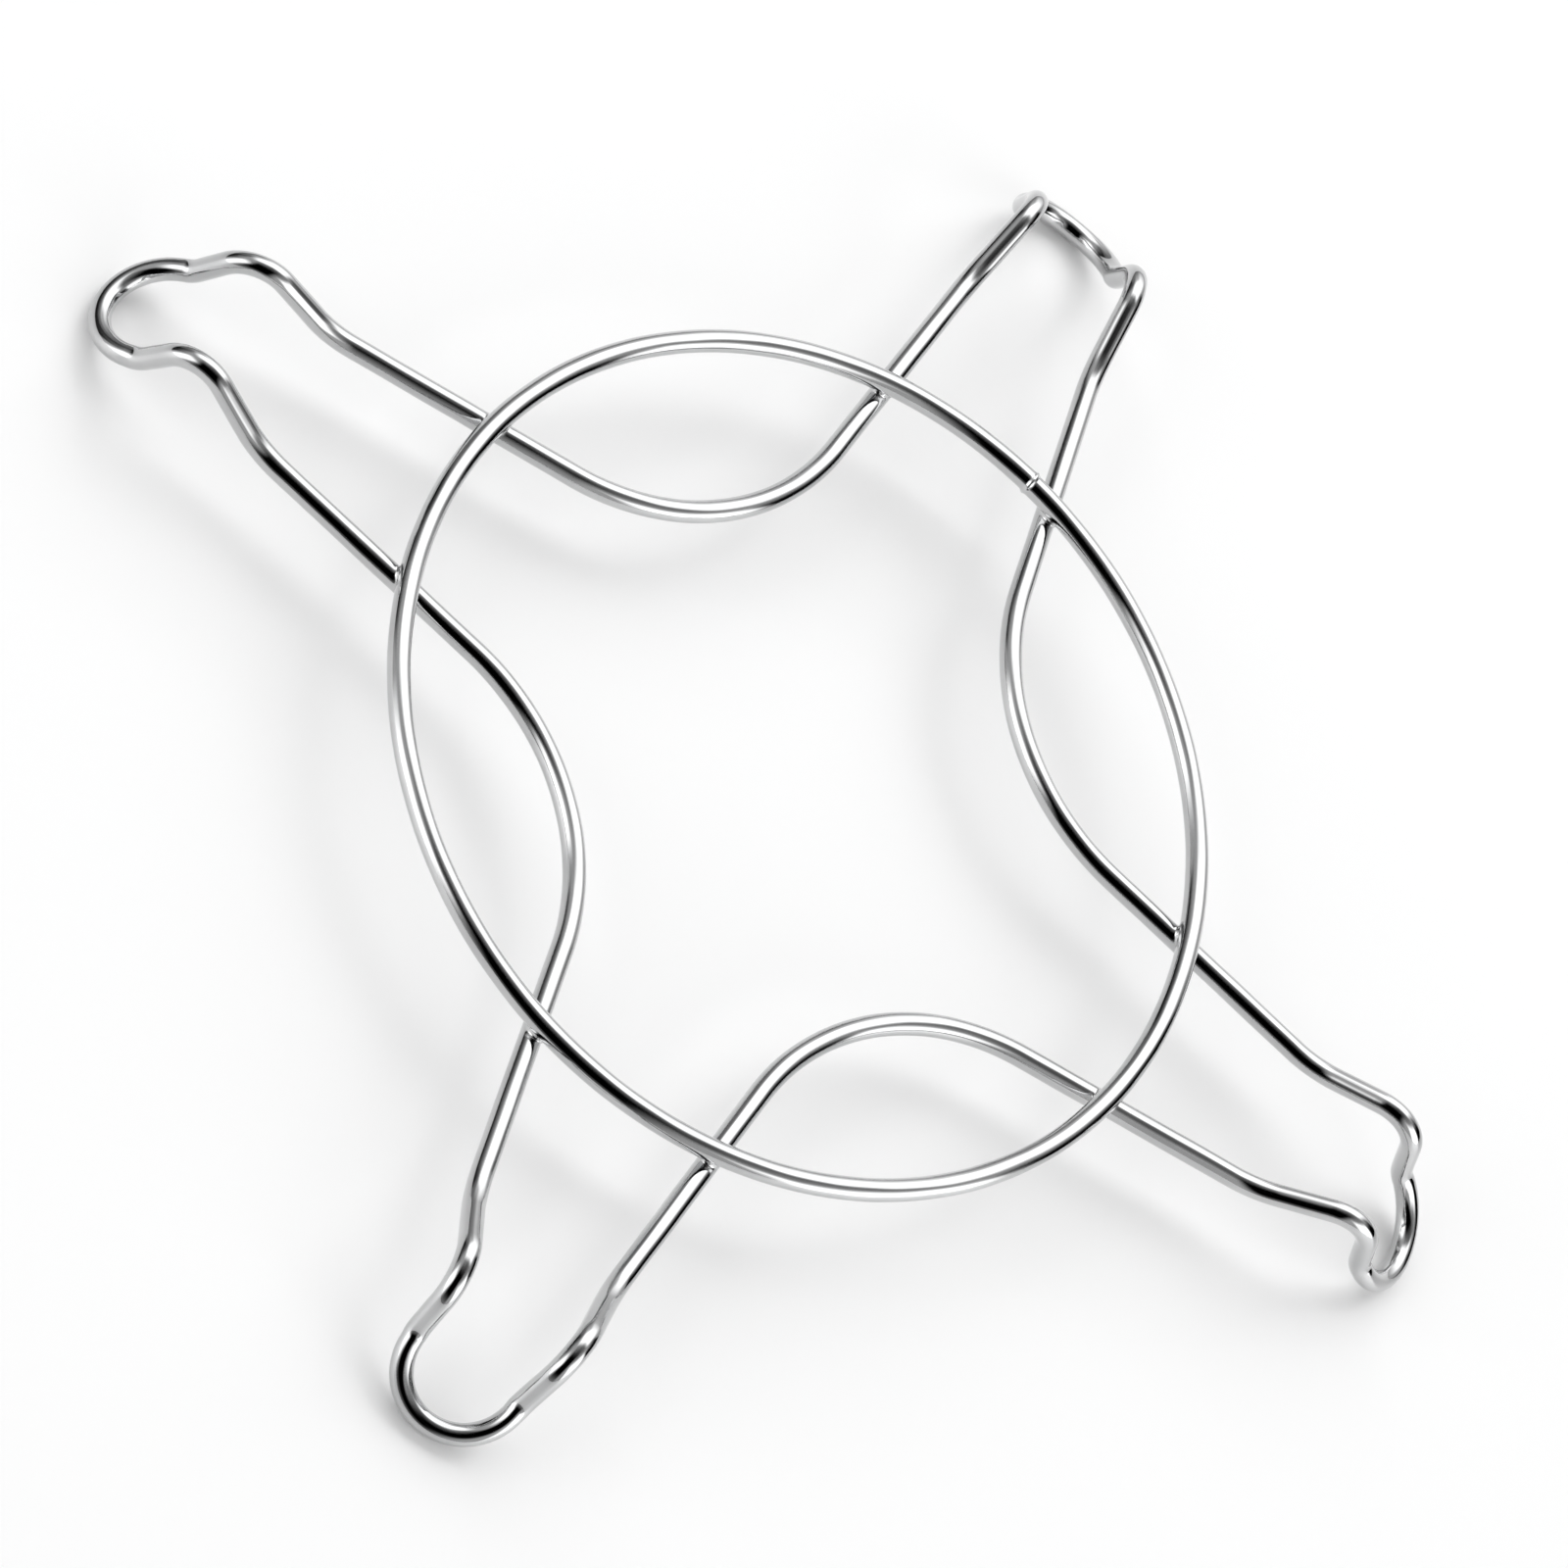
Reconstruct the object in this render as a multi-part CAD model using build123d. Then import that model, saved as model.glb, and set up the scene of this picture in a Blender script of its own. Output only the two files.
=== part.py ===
"""Wok stand of bright round wire: a ring welded on top of a frame with four hairpin legs.

Origin under the middle of the ring, on the surface that the four foot loops stand on. +Z is up, and the
first leg points along +X. All lengths are in millimetres and all angles in degrees.
"""

import os
from math import asin, cos, radians, sin, sqrt, tan

from build123d import *

# Wire and ring
WIRE = 4.0  # diameter of the wire that both pieces are bent from
RING_INSIDE = 150.0  # clear bore of the ring
JOINT_ANGLE = 81.0  # where the ring's ends are butt-welded, counted from +X
JOINT_PROUD = 0.15  # how far the butt weld stands out of the wire
JOINT_WIDTH = 1.6  # along the wire, at its sunk edges

# Plan of the legs, measured between wire centres
LEG_COUNT = 4
LEG_SPREAD = 36.8  # between the two wires of a leg where they pass under the ring
TOE_SPREAD = 20.6  # between the same wires where the foot loop begins
INNER_BEND = 44.5  # radius of the arcs that join neighbouring legs inside the ring

# Side view of a leg wire outwards from the ring: straight runs between bends
FLAT_RUN = 27.5  # from the weld under the ring to the kink
RISE_ANGLE = 27.0  # slope up to the hump
RISE_RUN = 9.0
DROP_ANGLE = 67.0  # slope down behind the hump
DROP_RUN = 6.0
TOE_ANGLE = 38.0  # slope of the foot loop
TOE_RUN = 0.8
KINK_BEND = 19.0  # centre-line radii of the three bends
HUMP_BEND = 7.0
TOE_BEND = 5.5

# Cross-wire welds
SET_DOWN = 0.4  # how far the ring is sunk into each leg wire
FLASH_WIDTH = 5.6  # diameter of the disc of metal squeezed out between the two wires
FLASH_DEPTH = 1.2

# Worked out from the sizes above
RING_RADIUS = (RING_INSIDE + WIRE) / 2
WELD_X = sqrt(RING_RADIUS**2 - (LEG_SPREAD / 2) ** 2)
HALF_PITCH = 180 / LEG_COUNT
RING_RISE = WIRE - SET_DOWN


def tangent_length(bend, turn):
    """Distance from a corner to where its bend of that radius begins, for a turn in degrees."""
    return bend * tan(radians(turn / 2))


def side_view():
    """Corners of a leg wire in its own upright plane, as distance past the weld and height."""
    kink_tangent = tangent_length(KINK_BEND, RISE_ANGLE)
    hump_tangent = tangent_length(HUMP_BEND, RISE_ANGLE + DROP_ANGLE)
    toe_tangent = tangent_length(TOE_BEND, DROP_ANGLE - TOE_ANGLE)
    kink = Vector(FLAT_RUN + kink_tangent, 0)
    hump = kink + Vector(kink_tangent + RISE_RUN + hump_tangent, 0).rotate(Axis.Z, RISE_ANGLE)
    toe = hump + Vector(hump_tangent + DROP_RUN + toe_tangent, 0).rotate(Axis.Z, -DROP_ANGLE)
    loop_start = toe + Vector(toe_tangent + TOE_RUN, 0).rotate(Axis.Z, -TOE_ANGLE)
    return kink, hump, toe, loop_start


def across(vector, angle):
    """Mirror image of a vector in the upright plane at that angle from +X."""
    turn = radians(2 * angle)
    return Vector(
        vector.X * cos(turn) + vector.Y * sin(turn),
        vector.X * sin(turn) - vector.Y * cos(turn),
        vector.Z,
    )


def leg_pitch_route():
    """Centre line from one side of the first leg, round its foot loop and inwards, to the next leg's loop.

    The flat run is at height 0. Each wire of a leg stays in an upright plane that leans in by the taper.
    """
    profile = side_view()
    taper = asin((LEG_SPREAD - TOE_SPREAD) / 2 / profile[-1].X)
    outward = Vector(cos(taper), -sin(taper), 0)
    weld = Vector(WELD_X, LEG_SPREAD / 2, 0)
    wire = [weld + outward * corner.X + Vector(0, 0, corner.Y) for corner in profile]

    # The wires of neighbouring legs would meet on the plane half way between the legs
    half_pitch = radians(HALF_PITCH)
    ray = Vector(sin(half_pitch), -cos(half_pitch), 0)
    meeting = weld - outward * (weld.dot(ray) / outward.dot(ray))
    next_wire = [across(corner, HALF_PITCH) for corner in wire]
    bends = [TOE_BEND, HUMP_BEND, KINK_BEND]
    chain = FilletPolyline(
        *reversed(wire), meeting, *next_wire, radius=[*bends, INNER_BEND, *reversed(bends)]
    )

    slope = radians(TOE_ANGLE)
    downhill = outward * cos(slope) - Vector(0, 0, sin(slope))
    loop = TangentArc(across(wire[-1], 0), wire[-1], tangent=across(downhill, 0))
    return loop, chain


def joint_collar():
    """Low barrel round a wire along Y: an arc over the wire, turned about the wire's axis."""
    sunk = WIRE / 2 - JOINT_PROUD
    edge = JOINT_WIDTH / 2
    crown = ThreePointArc((sunk, -edge), (WIRE / 2 + JOINT_PROUD, 0), (sunk, edge))
    inside = Polyline((sunk, edge), (0, edge), (0, -edge), (sunk, -edge))
    return revolve(make_face([crown, inside]), Axis.Y)


def support_ring(level):
    """Closed wire circle with the slight collar of its butt weld."""
    ring = Torus(RING_RADIUS, WIRE / 2)
    ring += Rot(0, 0, JOINT_ANGLE) * Pos(RING_RADIUS, 0, 0) * joint_collar()
    return Pos(0, 0, level) * ring


def leg_frame(loop, chain, flat_level, ring):
    """Closed frame wire with the flash of its eight welds, seated to the ring."""
    path = Wire([loop.edge(), *chain.edges()])
    section = Plane(origin=path @ 0, z_dir=path % 0) * Circle(WIRE / 2)
    pitch = Pos(0, 0, flat_level) * sweep(section, path=path)
    flash = Pos(0, 0, flat_level + RING_RISE / 2) * Cylinder(FLASH_WIDTH / 2, FLASH_DEPTH)
    frame = Part()
    for leg in PolarLocations(0, LEG_COUNT):
        frame += leg * pitch
    for leg in PolarLocations(0, LEG_COUNT):
        for side in (-1, 1):
            frame += leg * Pos(WELD_X, side * LEG_SPREAD / 2) * flash
    return frame - ring


loop, chain = leg_pitch_route()
flat_level = WIRE / 2 - (loop @ 0.5).Z
ring = support_ring(flat_level + RING_RISE)
frame = leg_frame(loop, chain, flat_level, ring)

os.makedirs("parts", exist_ok=True)
export_step(ring, "parts/support_ring.step")
export_step(frame, "parts/leg_frame.step")
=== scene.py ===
"""Bright wire wok stand: a ring of round wire, welded on top of one closed wire bent into four hairpin legs.

Lengths are in metres and angles in degrees. +Z is up, and the first leg points along +X.
"""

import bpy
import numpy as np
from mathutils import Matrix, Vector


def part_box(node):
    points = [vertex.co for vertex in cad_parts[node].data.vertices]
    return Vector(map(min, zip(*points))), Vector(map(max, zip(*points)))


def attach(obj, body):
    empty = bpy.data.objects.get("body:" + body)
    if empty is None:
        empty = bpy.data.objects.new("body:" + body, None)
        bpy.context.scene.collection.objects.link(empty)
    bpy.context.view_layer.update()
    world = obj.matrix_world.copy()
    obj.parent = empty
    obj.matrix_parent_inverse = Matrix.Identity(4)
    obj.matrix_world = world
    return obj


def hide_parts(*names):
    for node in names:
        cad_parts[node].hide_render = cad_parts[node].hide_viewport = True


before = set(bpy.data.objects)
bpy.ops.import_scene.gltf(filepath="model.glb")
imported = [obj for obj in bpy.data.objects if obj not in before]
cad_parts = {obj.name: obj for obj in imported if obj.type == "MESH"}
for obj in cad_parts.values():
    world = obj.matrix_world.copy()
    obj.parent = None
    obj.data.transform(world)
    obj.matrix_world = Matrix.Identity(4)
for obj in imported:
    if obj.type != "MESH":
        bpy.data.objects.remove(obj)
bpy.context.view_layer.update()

# Wire of both pieces
WIRE = 0.004
WIRE_RADIUS = WIRE / 2
FACETS_AROUND = 44

# Ring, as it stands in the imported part
ring_low, ring_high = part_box("support_ring")
RING_RADIUS = (ring_high[0] - ring_low[0] - WIRE) / 2
RING_LEVEL = (ring_low[2] + ring_high[2]) / 2
JOINT_ANGLE = 81.0
JOINT_PROUD = 0.00026  # how far the butt weld stands out of the wire
JOINT_WIDTH = 0.0009
JOINT_OFFSET = 0.00012  # how far the two ends of the ring are out of line, outwards
JOINT_LIFT = 0.6  # and upwards, as a share of that
JOINT_STEEPNESS = 4.0  # of the step from one end to the other, across the joint's width
JOINT_SETTLE = 0.009  # the ends come back into line over this length

# Plan of the legs, between wire centres
LEG_COUNT = 4
LEG_SPREAD = 0.0368
TOE_SPREAD = 0.0206
INNER_BEND = 0.0445

# Side view of a leg wire outwards from the ring
FLAT_RUN = 0.0275
RISE_ANGLE = 27.0
RISE_RUN = 0.009
DROP_ANGLE = 67.0
DROP_RUN = 0.006
TOE_ANGLE = 38.0
TOE_RUN = 0.0008
KINK_BEND = 0.019
HUMP_BEND = 0.007
TOE_BEND = 0.0055

# Welds and the marks that drawing and bending leave
WELD_BLEND = 0.0011  # how far the squeezed-out metal runs up the ring and along the leg wire
WELD_DIVE = 0.00003  # the blend ends this far under the ring's surface
WELD_LIMIT = 1.3  # most that the leg wire is raised, in blends
WELD_ROUNDS = 24  # steps in which it is raised
WELD_EDGE = 3.0  # the weld's finish is full where the wire is raised by WELD_BLEND / WELD_EDGE
WELD_FINISH = 0.4  # strength of the weld's finish where it is full
BEND_FLATTENING = 0.1
BEND_WIDENING = 0.5  # share of the flattening by which a bend gets thicker sideways
BEND_SMOOTHING = 9  # neighbouring cross sections over which the flattening comes and goes
WAVINESS = 0.000016
WAVES = (  # share, wire diameters to a wave, turns around the wire, phase
    (1.0, 7.0, 2, 0.7),
    (0.6, 4.3, -1, 2.1),
    (0.3, 2.6, 3, 4.0),
)

# Spacing of the cross sections along the wire
STRAIGHT_SPACING = 0.0018
BEND_SPACING = 0.0005
WELD_SPACING = 0.00018
JOINT_SPACING = 0.00008
CLOSE_REACH = 0.005  # the two close spacings hold this far from a weld or the joint

# Finish of the wire
PLATING_DARK = (0.57, 0.575, 0.58, 1)
PLATING_PALE = (0.65, 0.652, 0.655, 1)
PLATING_RANGE = (0.3, 0.7)  # values of the cloud noise between which the plating changes
PLATING_GLOSS = (0.045, 0.09)  # roughness of the dark and of the pale plating
WELD_PALE = (0.9, 0.9, 0.905, 1)
WELD_PALENESS = 0.6
WELD_ROUGHNESS = 0.3  # added to the plating's

UP = np.array([0.0, 0.0, 1.0])


def unit(vectors):
    """Each vector divided by its own length."""
    return vectors / np.linalg.norm(vectors, axis=-1, keepdims=True)


def towards(azimuth, elevation):
    """Unit vector at that azimuth from +X and elevation above the floor."""
    azimuth, elevation = np.radians(azimuth), np.radians(elevation)
    level = np.cos(elevation)
    return np.stack([level * np.cos(azimuth), level * np.sin(azimuth), np.sin(elevation)], axis=-1)


def full_turn(count):
    """Angles of that many even parts of a turn."""
    return np.linspace(0.0, 2 * np.pi, count, endpoint=False)


def tangent_length(bend, turn):
    """Distance from a corner to where its bend begins: the radius times the tangent of half the turn."""
    return bend * np.tan(np.radians(turn / 2))


def slope(angle):
    """Unit step of a side view at that angle above the level, as (distance, height)."""
    return np.array([np.cos(np.radians(angle)), np.sin(np.radians(angle))])


def side_view():
    """Corners of a leg wire in its upright plane: kink, hump and toe, then the start of the foot loop.

    Each corner is the one before it plus a straight run and the two tangent lengths at its ends.
    """
    kink_tangent = tangent_length(KINK_BEND, RISE_ANGLE)
    hump_tangent = tangent_length(HUMP_BEND, RISE_ANGLE + DROP_ANGLE)
    toe_tangent = tangent_length(TOE_BEND, DROP_ANGLE - TOE_ANGLE)
    kink = np.array([FLAT_RUN + kink_tangent, 0.0])
    hump = kink + slope(RISE_ANGLE) * (kink_tangent + RISE_RUN + hump_tangent)
    toe = hump + slope(-DROP_ANGLE) * (hump_tangent + DROP_RUN + toe_tangent)
    loop_start = toe + slope(-TOE_ANGLE) * (toe_tangent + TOE_RUN)
    return np.array([kink, hump, toe, loop_start])


def leg_turns():
    """Rotation matrices about the upright axis, one for each leg."""
    angle = np.radians(np.arange(LEG_COUNT) * 360 / LEG_COUNT)
    turns = np.zeros((LEG_COUNT, 3, 3))
    turns[:, 0, 0] = turns[:, 1, 1] = np.cos(angle)
    turns[:, 1, 0] = np.sin(angle)
    turns[:, 0, 1] = -np.sin(angle)
    turns[:, 2, 2] = 1.0
    return turns


def weld_points():
    """Where the leg wires pass under the ring, two to a leg, seen from above."""
    half = LEG_SPREAD / 2
    x = np.sqrt(RING_RADIUS**2 - half**2)
    pair = np.array([[x, half, 0.0], [x, -half, 0.0]])
    return np.concatenate(pair @ leg_turns().transpose(0, 2, 1))


def leg_frame_route():
    """Corners and bend radii of the closed frame wire, with the flat runs at height 0.

    One pitch goes from a foot's corner up one leg wire, round the inner corner and down the next leg's wire,
    which is the mirror image in the upright plane half way between the legs. The foot's corner is where the
    leg's two sloping wires would meet, and its bend is the one whose tangent length reaches back to the
    toe run.
    """
    profile = side_view()
    taper = np.arcsin((LEG_SPREAD - TOE_SPREAD) / 2 / profile[-1, 0])
    outward = np.array([np.cos(taper), -np.sin(taper), 0.0])
    weld = weld_points()[0]
    wire = weld + outward * profile[:, :1] + UP * profile[:, 1:]

    toe_slope = np.radians(TOE_ANGLE)
    downhill = outward * np.cos(toe_slope) - UP * np.sin(toe_slope)
    reach = wire[3, 1] / -downhill[1]
    foot = wire[3] + downhill * reach
    foot_turn = np.degrees(np.arccos(2 * downhill[1] ** 2 - 1))
    loop_bend = reach / tangent_length(1.0, foot_turn)

    half_pitch = np.pi / LEG_COUNT
    ray = np.array([np.sin(half_pitch), -np.cos(half_pitch), 0.0])
    inner = weld - outward * (weld @ ray) / (outward @ ray)
    mirrored = wire[:3] - 2 * (wire[:3] @ ray)[:, None] * ray

    pitch = np.stack([foot, wire[2], wire[1], wire[0], inner, *mirrored])
    leg_bends = [TOE_BEND, HUMP_BEND, KINK_BEND]
    bends = np.array([loop_bend, *leg_bends, INNER_BEND, *reversed(leg_bends)])
    corners = np.concatenate(pitch @ leg_turns().transpose(0, 2, 1))
    return corners, np.tile(bends, LEG_COUNT)


def runs_and_bends(corners, bends):
    """Straight runs and tangent arcs of a closed route, one after the other.

    Each piece has its start, its heading there, the side that it bends to, its curvature and its length.
    An arc begins one tangent length before its corner, and a run joins the end of one arc to the start of
    the next.
    """
    heading_in = unit(corners - np.roll(corners, 1, axis=0))
    heading_out = np.roll(heading_in, -1, axis=0)
    turn = np.arccos(np.sum(heading_in * heading_out, axis=1))
    tangent = (bends * np.tan(turn / 2))[:, None]
    arc_start = corners - heading_in * tangent
    run_start = np.roll(corners + heading_out * tangent, 1, axis=0)
    inward = unit(heading_out - heading_in * np.cos(turn)[:, None])
    run_length = np.linalg.norm(arc_start - run_start, axis=1)
    start = np.stack([run_start, arc_start], axis=1).reshape(-1, 3)
    heading = np.repeat(heading_in, 2, axis=0)
    side = np.repeat(inward, 2, axis=0)
    curvature = np.stack([np.zeros_like(bends), 1 / bends], axis=1).ravel()
    length = np.stack([run_length, bends * turn], axis=1).ravel()
    return start, heading, side, curvature, length


def walk(pieces, distance):
    """Places, headings, bend sides and curvatures at those distances along a route.

    On each piece, with the angle turned so far equal to the distance along it times its curvature, the
    place is its start, plus the heading times distance x sin(angle) / angle, plus the bend side times
    distance x (1 - cos(angle)) / angle. A straight run is the same with angle 0.
    """
    start, heading, side, curvature, length = pieces
    begins = np.cumsum(length) - length
    i = np.searchsorted(begins, distance, side="right") - 1
    ahead = distance - begins[i]
    angle = ahead * curvature[i]
    forward = ahead * np.sinc(angle / np.pi)
    sideways = ahead * np.sin(angle / 2) * np.sinc(angle / (2 * np.pi))
    place = start[i] + heading[i] * forward[:, None] + side[i] * sideways[:, None]
    direction = heading[i] * np.cos(angle)[:, None] + side[i] * np.sin(angle)[:, None]
    bend_side = side[i] * np.cos(angle)[:, None] - heading[i] * np.sin(angle)[:, None]
    return place, direction, bend_side, curvature[i]


def stations(length, spacing_at):
    """Distances along a closed route, as close to each other as spacing_at says.

    The running sum of 1 / spacing, on points twice as close as the closest spacing, is cut into equal parts,
    and each cut is read back as a distance.
    """
    fine = np.linspace(0.0, length, int(length / JOINT_SPACING) * 2)
    share = np.concatenate([[0.0], np.cumsum(np.diff(fine) / spacing_at(fine[:-1]))])
    count = int(np.ceil(share[-1]))
    return np.interp(np.arange(count) * share[-1] / count, share, fine)


def round_sections(direction):
    """Outward unit vectors round each cross section of a wire that is nowhere upright.

    They are the level axis x cos(angle) + the other axis x sin(angle). The level axis is square to the wire,
    and the other axis is square to both.
    """
    level = unit(np.cross(direction, UP))
    other = np.cross(level, direction)
    angle = full_turn(FACETS_AROUND)[:, None]
    return level[:, None] * np.cos(angle) + other[:, None] * np.sin(angle)


def waviness(distance, length):
    """Slight unevenness of drawn wire: sine waves along it and around it, in whole numbers on the route."""
    turns = 2 * np.pi * distance[:, None] / length
    angle = full_turn(FACETS_AROUND)
    return WAVINESS * sum(
        share * np.sin(turns * round(length / WIRE / wave) + around * angle + phase)
        for share, wave, around, phase in WAVES
    )


def smooth_lower(a, b, reach):
    """The lower of two distances, rounded where they differ by less than reach.

    It is the lower one, less the square of (reach - difference) over four times reach.
    """
    overlap = np.maximum(reach - np.abs(a - b), 0.0)
    return np.minimum(a, b) - overlap**2 / (4 * reach)


def ring_distance(points):
    """Distance from points to a surface slightly under the ring's."""
    from_middle = np.hypot(points[..., 0], points[..., 1]) - RING_RADIUS
    return np.hypot(from_middle, points[..., 2] - RING_LEVEL) - WIRE_RADIUS + WELD_DIVE


def weld_swell(points, normals):
    """How far the leg wire's surface is raised along its normals to run smoothly up the ring.

    A point at height h over the leg wire lies on the joined surface where the smooth lower one of h and its
    distance to the ring is zero, and h grows step by step by what is missing.
    """
    height = np.zeros(points.shape[:2])
    for _ in range(WELD_ROUNDS):
        raised = points + normals * height[..., None]
        height -= smooth_lower(ring_distance(raised), height, WELD_BLEND)
        height = np.clip(height, 0.0, WELD_LIMIT * WELD_BLEND)
    return height


def mesh_object(name, points, faces):
    """New object of those points and faces, in the scene."""
    mesh = bpy.data.meshes.new(name)
    mesh.from_pydata(points.reshape(-1, 3).tolist(), [], faces)
    made = bpy.data.objects.new(name, mesh)
    bpy.context.scene.collection.objects.link(made)
    return made


def closed_tube(name, points, distance, length):
    """Mesh of a grid of points that closes both ways, mapped by metres along the wire and turns around it."""
    rows, columns = points.shape[:2]
    i, j = np.meshgrid(np.arange(rows), np.arange(columns), indexing="ij")
    corner_i = np.stack([i, i + 1, i + 1, i], axis=-1).reshape(-1, 4)
    corner_j = np.stack([j, j, j + 1, j + 1], axis=-1).reshape(-1, 4)
    quads = (corner_i % rows) * columns + corner_j % columns
    piece = mesh_object(name, points, quads.tolist())
    along = np.append(distance, distance[0] + length)
    uv = np.stack([along[corner_i], corner_j / columns], axis=-1)
    mesh = piece.data
    mesh.uv_layers.new(name="along_wire").data.foreach_set("uv", uv.astype(np.float32).ravel())
    mesh.polygons.foreach_set("use_smooth", np.ones(len(mesh.polygons), bool))
    mesh.validate()
    return piece


def mark_points(piece, name, values):
    """Stores one number for each point of the piece, for its material."""
    attribute = piece.data.attributes.new(name, "FLOAT", "POINT")
    attribute.data.foreach_set("value", values.astype(np.float32).ravel())


def make_support_ring():
    """Ring wire: a circle swept round a circle, swollen and a hair out of line where its ends are welded.

    The swelling is a bell curve of the distance from the joint. The two ends part by half the offset each
    way, fading out with distance, and meet in a steep S inside the joint's width.
    """
    length = 2 * np.pi * RING_RADIUS
    joint = np.radians(JOINT_ANGLE) * RING_RADIUS
    half_way = length / 2

    def from_joint(distance):
        return (distance - joint + half_way) % length - half_way

    def spacing_at(distance):
        return np.where(np.abs(from_joint(distance)) < CLOSE_REACH, JOINT_SPACING, BEND_SPACING)

    distance = stations(length, spacing_at)
    ahead = from_joint(distance)
    part = 0.5 * JOINT_OFFSET * np.tanh(JOINT_STEEPNESS * ahead / JOINT_WIDTH)
    part *= np.exp(-np.abs(ahead) / JOINT_SETTLE)
    angle = distance / RING_RADIUS
    radius = RING_RADIUS + part
    level = RING_LEVEL + JOINT_LIFT * part
    centres = np.stack([radius * np.cos(angle), radius * np.sin(angle), level], axis=-1)
    direction = np.stack([-np.sin(angle), np.cos(angle), np.zeros_like(angle)], axis=-1)
    swell = np.exp(-((ahead / (JOINT_WIDTH / 2)) ** 2))
    thickness = WIRE_RADIUS + JOINT_PROUD * swell[:, None] + waviness(distance, length)
    points = centres[:, None] + round_sections(direction) * thickness[..., None]
    piece = closed_tube("support_ring_wire", points, distance, length)
    mark_points(piece, "weld", WELD_FINISH * np.repeat(swell, FACETS_AROUND))
    return piece


def make_leg_frame():
    """Leg frame wire: a circle carried along the bent route, flattened in its bends and raised at its welds.

    In a bend the half-thickness towards its centre shrinks by the flattening times (wire radius / bend
    radius), and the half-thickness square to that grows by the widening's share of it.
    """
    corners, bends = leg_frame_route()
    pieces = runs_and_bends(corners, bends)
    length = pieces[-1].sum()
    welds = weld_points()

    def spacing_at(distance):
        place, _, _, curvature = walk(pieces, distance)
        to_weld = np.linalg.norm(place[:, None] - welds, axis=-1).min(axis=1)
        spacing = np.where(curvature > 0, BEND_SPACING, STRAIGHT_SPACING)
        return np.where(to_weld < CLOSE_REACH, WELD_SPACING, spacing)

    distance = stations(length, spacing_at)
    place, direction, bend_side, curvature = walk(pieces, distance)
    place[:, 2] += WIRE_RADIUS - place[:, 2].min()
    normals = round_sections(direction)
    tightness = BEND_FLATTENING * WIRE_RADIUS * curvature
    padded = np.pad(tightness, BEND_SMOOTHING // 2, mode="wrap")
    tightness = np.convolve(padded, np.full(BEND_SMOOTHING, 1 / BEND_SMOOTHING), mode="valid")
    towards_bend = np.sum(normals * bend_side[:, None], axis=-1) ** 2
    flattening = tightness[:, None] * (BEND_WIDENING - (1 + BEND_WIDENING) * towards_bend)
    thickness = WIRE_RADIUS * (1 + flattening) + waviness(distance, length)
    points = place[:, None] + normals * thickness[..., None]
    points[..., 2] -= points[..., 2].min()
    swell = weld_swell(points, normals)
    piece = closed_tube("leg_frame_wire", points + normals * swell[..., None], distance, length)
    mark_points(piece, "weld", WELD_FINISH * np.clip(swell / WELD_BLEND * WELD_EDGE, 0.0, 1.0))
    return piece


def node_chain(material):
    """Emptied node tree of a material or world: functions that add a node to it and join two of its nodes."""
    material.use_nodes = True
    tree = material.node_tree
    tree.nodes.clear()

    def add(kind, sockets=None, **settings):
        node = tree.nodes.new(kind)
        for name, value in settings.items():
            setattr(node, name, value)
        for socket, value in (sockets or {}).items():
            node.inputs[socket].default_value = value
        return node

    def join(source, from_socket, target, to_socket):
        tree.links.new(source.outputs[from_socket], target.inputs[to_socket])

    return add, join


def make_bright_wire():
    """Polished, plated wire: a clean mirror with faint drawing lines, cloudy gloss and duller welds."""
    material = bpy.data.materials.new("bright_wire")
    add, join = node_chain(material)
    shader = add("ShaderNodeBsdfPrincipled", {"Metallic": 1.0})
    join(shader, "BSDF", add("ShaderNodeOutputMaterial"), "Surface")

    # Cloudy plating, on the part's own coordinates
    place = add("ShaderNodeTexCoord")
    clouds = add("ShaderNodeTexNoise", {"Scale": 90.0, "Detail": 3.0})
    join(place, "Object", clouds, "Vector")

    # Colour: cool bright metal, cloudy, and paler at the welds
    tint = add("ShaderNodeValToRGB")
    for stop, position, colour in zip(tint.color_ramp.elements, PLATING_RANGE, (PLATING_DARK, PLATING_PALE)):
        stop.position = position
        stop.color = colour
    weld = add("ShaderNodeAttribute", attribute_name="weld")
    weld_share = add("ShaderNodeMath", {1: WELD_PALENESS}, operation="MULTIPLY")
    weld_tint = add("ShaderNodeMix", {"B": WELD_PALE}, data_type="RGBA")
    join(clouds, "Fac", tint, "Fac")
    join(weld, "Fac", weld_share, 0)
    join(weld_share, "Value", weld_tint, "Factor")
    join(tint, "Color", weld_tint, "A")
    join(weld_tint, "Result", shader, "Base Color")

    # Gloss: mirror-like, a little softer in the pale clouds, satin at the welds
    ends = dict(zip(("From Min", "From Max", "To Min", "To Max"), PLATING_RANGE + PLATING_GLOSS))
    gloss = add("ShaderNodeMapRange", ends)
    weld_gloss = add("ShaderNodeMath", {1: WELD_ROUGHNESS}, operation="MULTIPLY_ADD")
    join(clouds, "Fac", gloss, "Value")
    join(weld, "Fac", weld_gloss, 0)
    join(gloss, "Result", weld_gloss, 2)
    join(weld_gloss, "Value", shader, "Roughness")

    # Lines that drawing leaves along the wire, on its own map
    wire_map = add("ShaderNodeUVMap", uv_map="along_wire")
    lay = add("ShaderNodeMapping", {"Scale": (40.0, 34.0, 1.0)})
    lines = add("ShaderNodeTexNoise", {"Scale": 1.0, "Detail": 2.0})
    relief = add("ShaderNodeBump", {"Strength": 0.06, "Distance": 0.0001})
    join(wire_map, "UV", lay, "Vector")
    join(lay, "Vector", lines, "Vector")
    join(lines, "Fac", relief, "Height")
    join(relief, "Normal", shader, "Normal")
    return material


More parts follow.
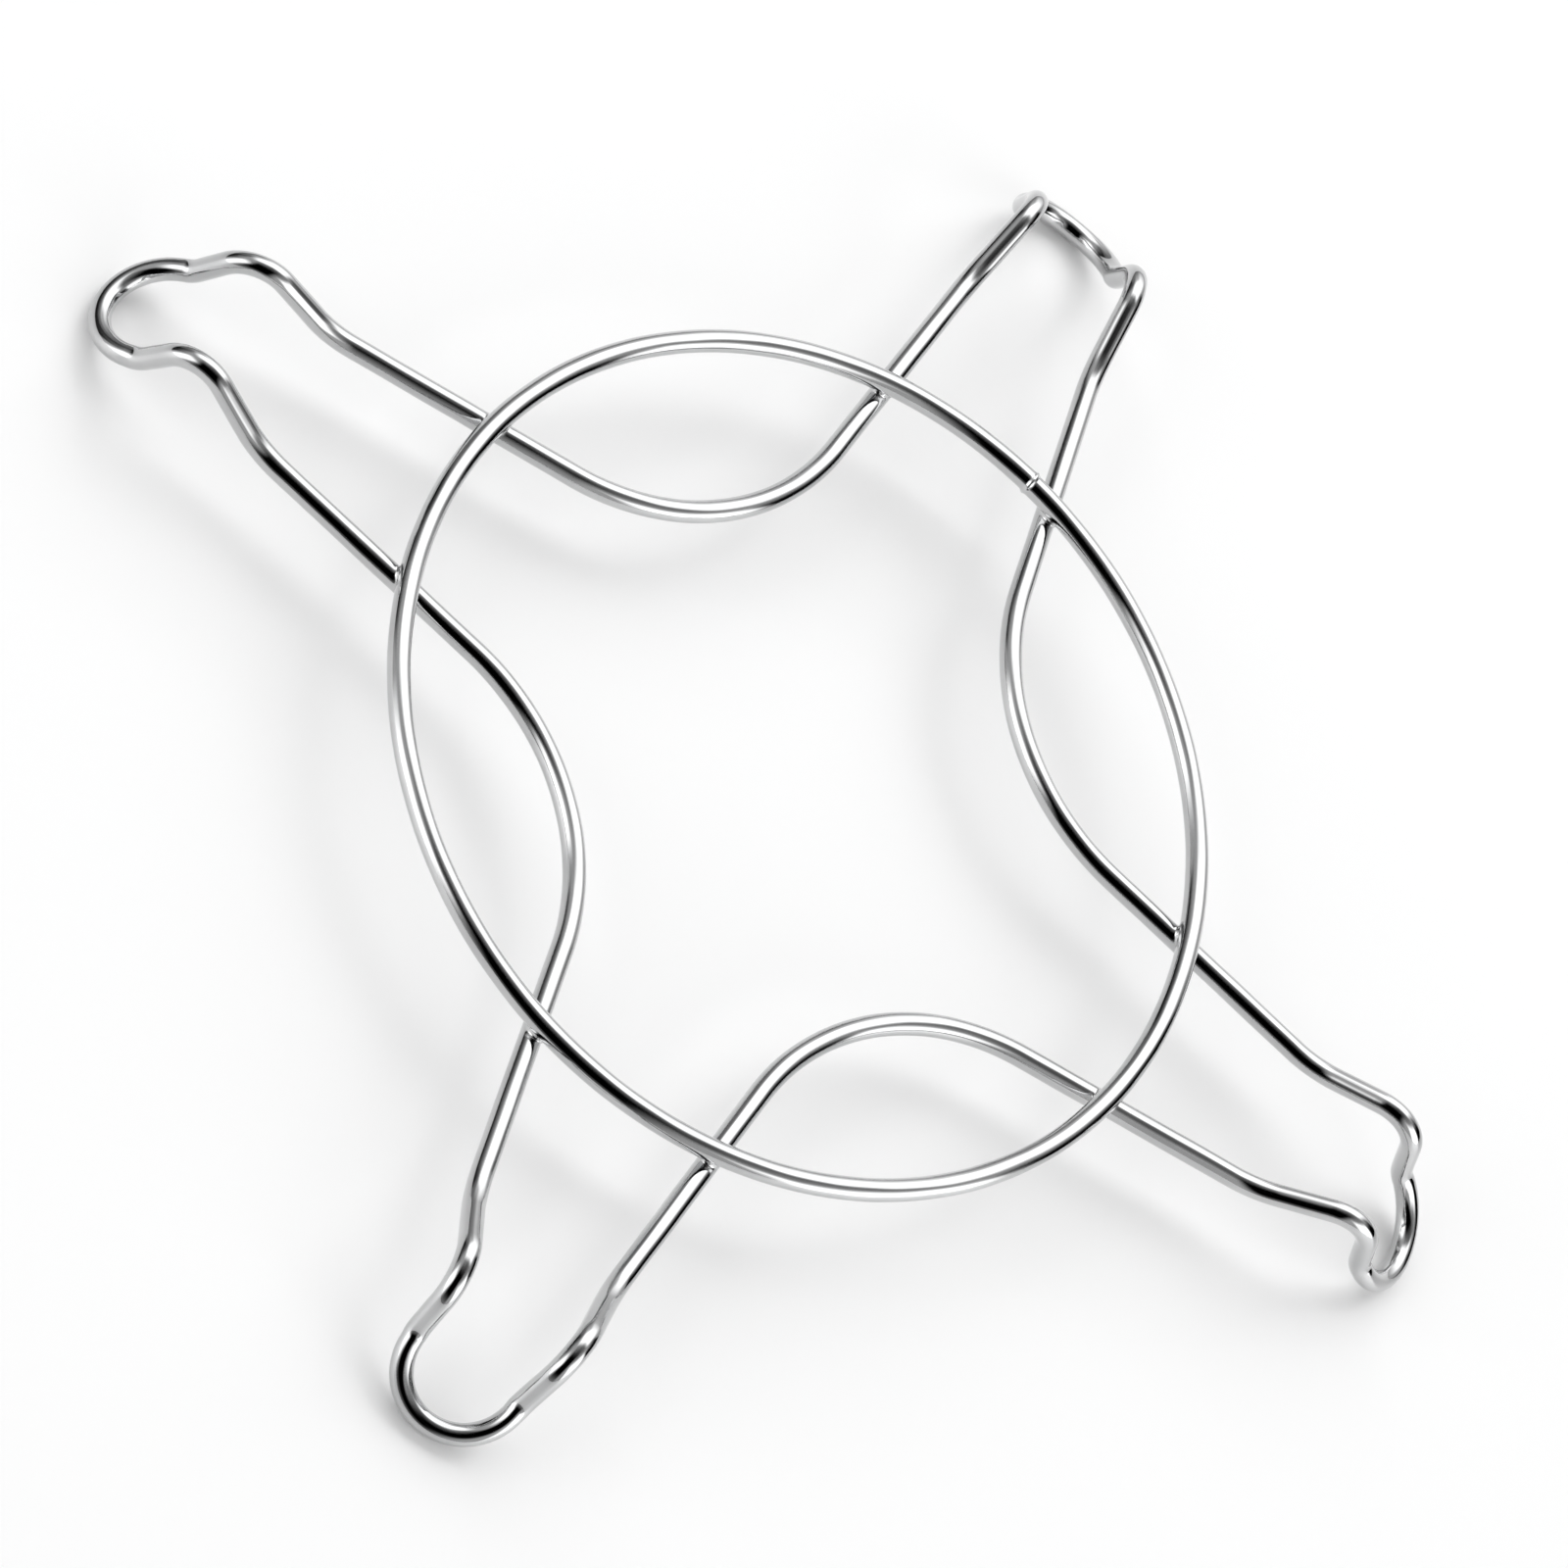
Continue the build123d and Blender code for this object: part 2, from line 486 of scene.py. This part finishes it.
# Camera at the photograph's view, with the picture turned about the line of sight
PICTURE = 1600  # pixels across the square picture
PIXELS_PER_METRE = 6068.0  # at the aim point
VIEW_AZIMUTH = -110.27
VIEW_ELEVATION = 52.65
VIEW_ROLL = 52.98
VIEW_DISTANCE = 1.386
VIEW_END = 50.0
AIM = (-0.00152, -0.0072, RING_LEVEL)
SENSOR = 36.0  # millimetres


def stand_up(thing, right, up, back, place):
    """Puts a camera or lamp at a place, with its own axes along those vectors, into the scene."""
    rows = np.eye(4)
    rows[:3, :3] = np.stack([right, up, back], axis=1)
    rows[:3, 3] = place
    thing.matrix_world = Matrix(rows.tolist())
    bpy.context.scene.collection.objects.link(thing)


def make_camera():
    """Camera on a sphere round the aim point, turned about its own line of sight."""
    roll = np.radians(VIEW_ROLL)
    back = towards(VIEW_AZIMUTH, VIEW_ELEVATION)
    right = unit(np.cross(UP, back))
    up = np.cross(back, right)
    across = right * np.cos(roll) + up * np.sin(roll)
    upward = up * np.cos(roll) - right * np.sin(roll)
    lens = bpy.data.cameras.new("camera")
    lens.sensor_fit = "HORIZONTAL"
    lens.sensor_width = SENSOR
    lens.lens = SENSOR * PIXELS_PER_METRE * VIEW_DISTANCE / PICTURE
    lens.clip_end = VIEW_END
    camera = bpy.data.objects.new("camera", lens)
    stand_up(camera, across, upward, back, np.array(AIM) + back * VIEW_DISTANCE)
    bpy.context.scene.camera = camera


# Studio: lamps, the soft boxes and dark cards that the wire mirrors, floor and tent
STUDIO_RADIUS = 6.0
DARK_CARD_RADIUS = 0.9 * STUDIO_RADIUS  # in front of the soft boxes
FLOOR_RADIUS = 4.0
FLOOR_COLOUR = 0.96
FLOOR_ROUGHNESS = 0.3
FILL_LIGHT = 0.47
TENT_RADIUS = 7.0
TENT_HEM = 93.0  # degrees from the top
TENT_CLOTH = 0.47  # share of light that the cloth lets through
SHEET_RINGS = 25
SHEET_SPOKES = 64
CARD_ROWS = 65
CARD_COLUMNS = 49
LAMP_LEVEL = 1.45
BOX_GLOW = 2.0


def grey(shade):
    """Plain grey of that brightness, as a colour."""
    return (shade, shade, shade, 1)


def span(angle):
    """Length that fills that many degrees, seen from the stand at the studio's radius."""
    return 2 * STUDIO_RADIUS * np.tan(np.radians(angle / 2))


def make_lamp(name, azimuth, elevation, width, height):
    """Light of a soft box on the floor: a rectangle facing the stand that spans width by height degrees."""
    lamp = bpy.data.lights.new(name, "AREA")
    lamp.shape = "RECTANGLE"
    lamp.size, lamp.size_y = span(width), span(height)
    lamp.energy = LAMP_LEVEL * np.pi * lamp.size * lamp.size_y
    box = bpy.data.objects.new(name, lamp)
    box.visible_camera = False
    box.visible_glossy = False
    back = towards(azimuth, elevation)
    right = unit(np.cross(UP, back))
    stand_up(box, right, np.cross(back, right), back, back * STUDIO_RADIUS)


def show_in_mirrors_only(card):
    """Hides a stage piece from the eye, from the floor and from the lamps."""
    card.visible_camera = False
    card.visible_diffuse = False
    card.visible_transmission = False
    card.visible_shadow = False


def smooth_step(share):
    """Rises from 0 to 1 with level ends: share squared times (3 - 2 x share), the share kept in 0 to 1."""
    share = np.clip(share, 0.0, 1.0)
    return share**2 * (3 - 2 * share)


def make_card(name, azimuth, low, high, width, fades, cover=1.0, glow=0.0):
    """Curved card round the stand: a band of a sphere that fades out over its side, low and high edges.

    The band runs up an upright great circle from the low angle to the high one, past the top where that is
    over 90, and is as many degrees wide everywhere. Its cover is thinned by the smooth step of the angle to
    each edge over that edge's fade. A card that glows is the face of a soft box. Cards only show in mirrors.
    """
    side_fade, low_fade, high_fade = fades
    radius = STUDIO_RADIUS if glow else DARK_CARD_RADIUS
    across, upwards = np.linspace(-width / 2, width / 2, CARD_COLUMNS), np.linspace(low, high, CARD_ROWS)
    aside, rise = np.meshgrid(across, upwards, indexing="ij")
    middle, level = towards(azimuth, 0.0), towards(azimuth + 90.0, 0.0)
    up_angle, turn = np.radians(rise)[..., None], np.radians(aside)[..., None]
    front = np.cos(up_angle) * middle + np.sin(up_angle) * UP
    points = radius * (np.cos(turn) * front + np.sin(turn) * level)
    cover = cover * smooth_step((width / 2 - np.abs(aside)) / side_fade)
    cover *= smooth_step((rise - low) / low_fade) * smooth_step((high - rise) / high_fade)
    first = (np.arange(CARD_COLUMNS - 1)[:, None] * CARD_ROWS + np.arange(CARD_ROWS - 1)).ravel()
    quads = np.stack([first, first + CARD_ROWS, first + CARD_ROWS + 1, first + 1], axis=-1)
    card = mesh_object(name, points, quads.tolist())
    mark_points(card, "cover", cover)
    material = bpy.data.materials.new(name)
    add, join = node_chain(material)
    mix = add("ShaderNodeMixShader")
    join(add("ShaderNodeAttribute", attribute_name="cover"), "Fac", mix, 0)
    join(add("ShaderNodeBsdfTransparent"), 0, mix, 1)
    join(add("ShaderNodeEmission", {"Strength": glow}), 0, mix, 2)
    join(mix, 0, add("ShaderNodeOutputMaterial"), "Surface")
    card.data.materials.append(material)
    show_in_mirrors_only(card)


def round_sheet(name, reach, height, shader_kind, sockets):
    """Sheet of one finish round the upright axis: a centre point and rings of those radii and heights."""
    angle = full_turn(SHEET_SPOKES)
    x, y = reach[1:, None] * np.cos(angle), reach[1:, None] * np.sin(angle)
    rings = np.stack(np.broadcast_arrays(x, y, height[1:, None]), axis=-1)
    points = np.concatenate([[[0.0, 0.0, height[0]]], rings.reshape(-1, 3)])
    spoke = np.arange(SHEET_SPOKES)
    after = (spoke + 1) % SHEET_SPOKES
    start = 1 + SHEET_SPOKES * np.arange(len(reach) - 2)[:, None]
    bands = [start + spoke, start + SHEET_SPOKES + spoke, start + SHEET_SPOKES + after, start + after]
    quads = np.stack(bands, axis=-1).reshape(-1, 4)
    middle = np.stack([np.zeros_like(spoke), 1 + spoke, 1 + after], axis=-1)
    sheet = mesh_object(name, points, middle.tolist() + quads.tolist())
    material = bpy.data.materials.new(name)
    add, join = node_chain(material)
    join(add(shader_kind, sockets), 0, add("ShaderNodeOutputMaterial"), "Surface")
    sheet.data.materials.append(material)
    return sheet


def make_floor():
    """Plain pale floor with a satin sheen: a flat disc that runs out into the white surroundings."""
    reach = np.linspace(0.0, FLOOR_RADIUS, SHEET_RINGS)
    finish = {"Base Color": grey(FLOOR_COLOUR), "Roughness": FLOOR_ROUGHNESS}
    round_sheet("pale_floor", reach, np.zeros_like(reach), "ShaderNodeBsdfPrincipled", finish)


def make_tent():
    """Thin cloth dome outside the soft boxes, through which wire mirrors the white surroundings dimmed."""
    from_top = np.radians(np.linspace(0.0, TENT_HEM, SHEET_RINGS))
    reach, height = TENT_RADIUS * np.sin(from_top), TENT_RADIUS * np.cos(from_top)
    cloth = {"Color": grey(TENT_CLOTH)}
    show_in_mirrors_only(round_sheet("cloth_tent", reach, height, "ShaderNodeBsdfTransparent", cloth))


def make_surroundings():
    """White surroundings for the eye, for metal and for glass, and a plain soft fill light for the rest."""
    world = bpy.data.worlds.new("studio")
    bpy.context.scene.world = world
    add, join = node_chain(world)
    path = add("ShaderNodeLightPath")
    seen = add("ShaderNodeMath", operation="ADD")
    shown = add("ShaderNodeMath", operation="ADD", use_clamp=True)
    mix = add("ShaderNodeMixShader")
    join(path, "Is Camera Ray", seen, 0)
    join(path, "Is Glossy Ray", seen, 1)
    join(seen, 0, shown, 0)
    join(path, "Is Transmission Ray", shown, 1)
    join(shown, 0, mix, 0)
    join(add("ShaderNodeBackground", {"Color": grey(1), "Strength": FILL_LIGHT}), 0, mix, 1)
    join(add("ShaderNodeBackground", {"Color": grey(1), "Strength": 1.0}), 0, mix, 2)
    join(mix, 0, add("ShaderNodeOutputWorld"), "Surface")


bright_wire = make_bright_wire()
for piece, node in ((make_support_ring(), "support_ring"), (make_leg_frame(), "leg_frame")):
    piece.data.materials.append(bright_wire)
    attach(piece, "root")
    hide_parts(node)

make_camera()
make_floor()
make_surroundings()
make_tent()
make_lamp("left_lamp", azimuth=-153, elevation=20, width=36, height=50)
make_lamp("right_lamp", azimuth=-21, elevation=18, width=42, height=50)
make_lamp("back_lamp", azimuth=97, elevation=47, width=84, height=48)
make_card("left_box", azimuth=-152, low=-14, high=54, width=51, fades=(17, 10, 22), glow=BOX_GLOW)
make_card("right_box", azimuth=-22, low=-14, high=50, width=56, fades=(12, 10, 24), glow=BOX_GLOW)
make_card("back_box", azimuth=88, low=-4, high=84, width=84, fades=(20, 48, 18), glow=BOX_GLOW)
make_card("front_card", azimuth=-97, low=-24, high=115, width=68, fades=(17, 49, 50))
make_card("top_card", azimuth=-12, low=30, high=104, width=56, fades=(18, 34, 22), cover=0.5)
make_card("right_card", azimuth=21, low=-25, high=47, width=42, fades=(8, 10, 28))
make_card("left_card", azimuth=158, low=-16, high=41, width=42, fades=(8, 10, 34), cover=0.94)
make_card("back_left_card", azimuth=128, low=-18, high=44, width=74, fades=(20, 12, 16), cover=0.6)
bpy.context.scene.view_settings.view_transform = "Standard"
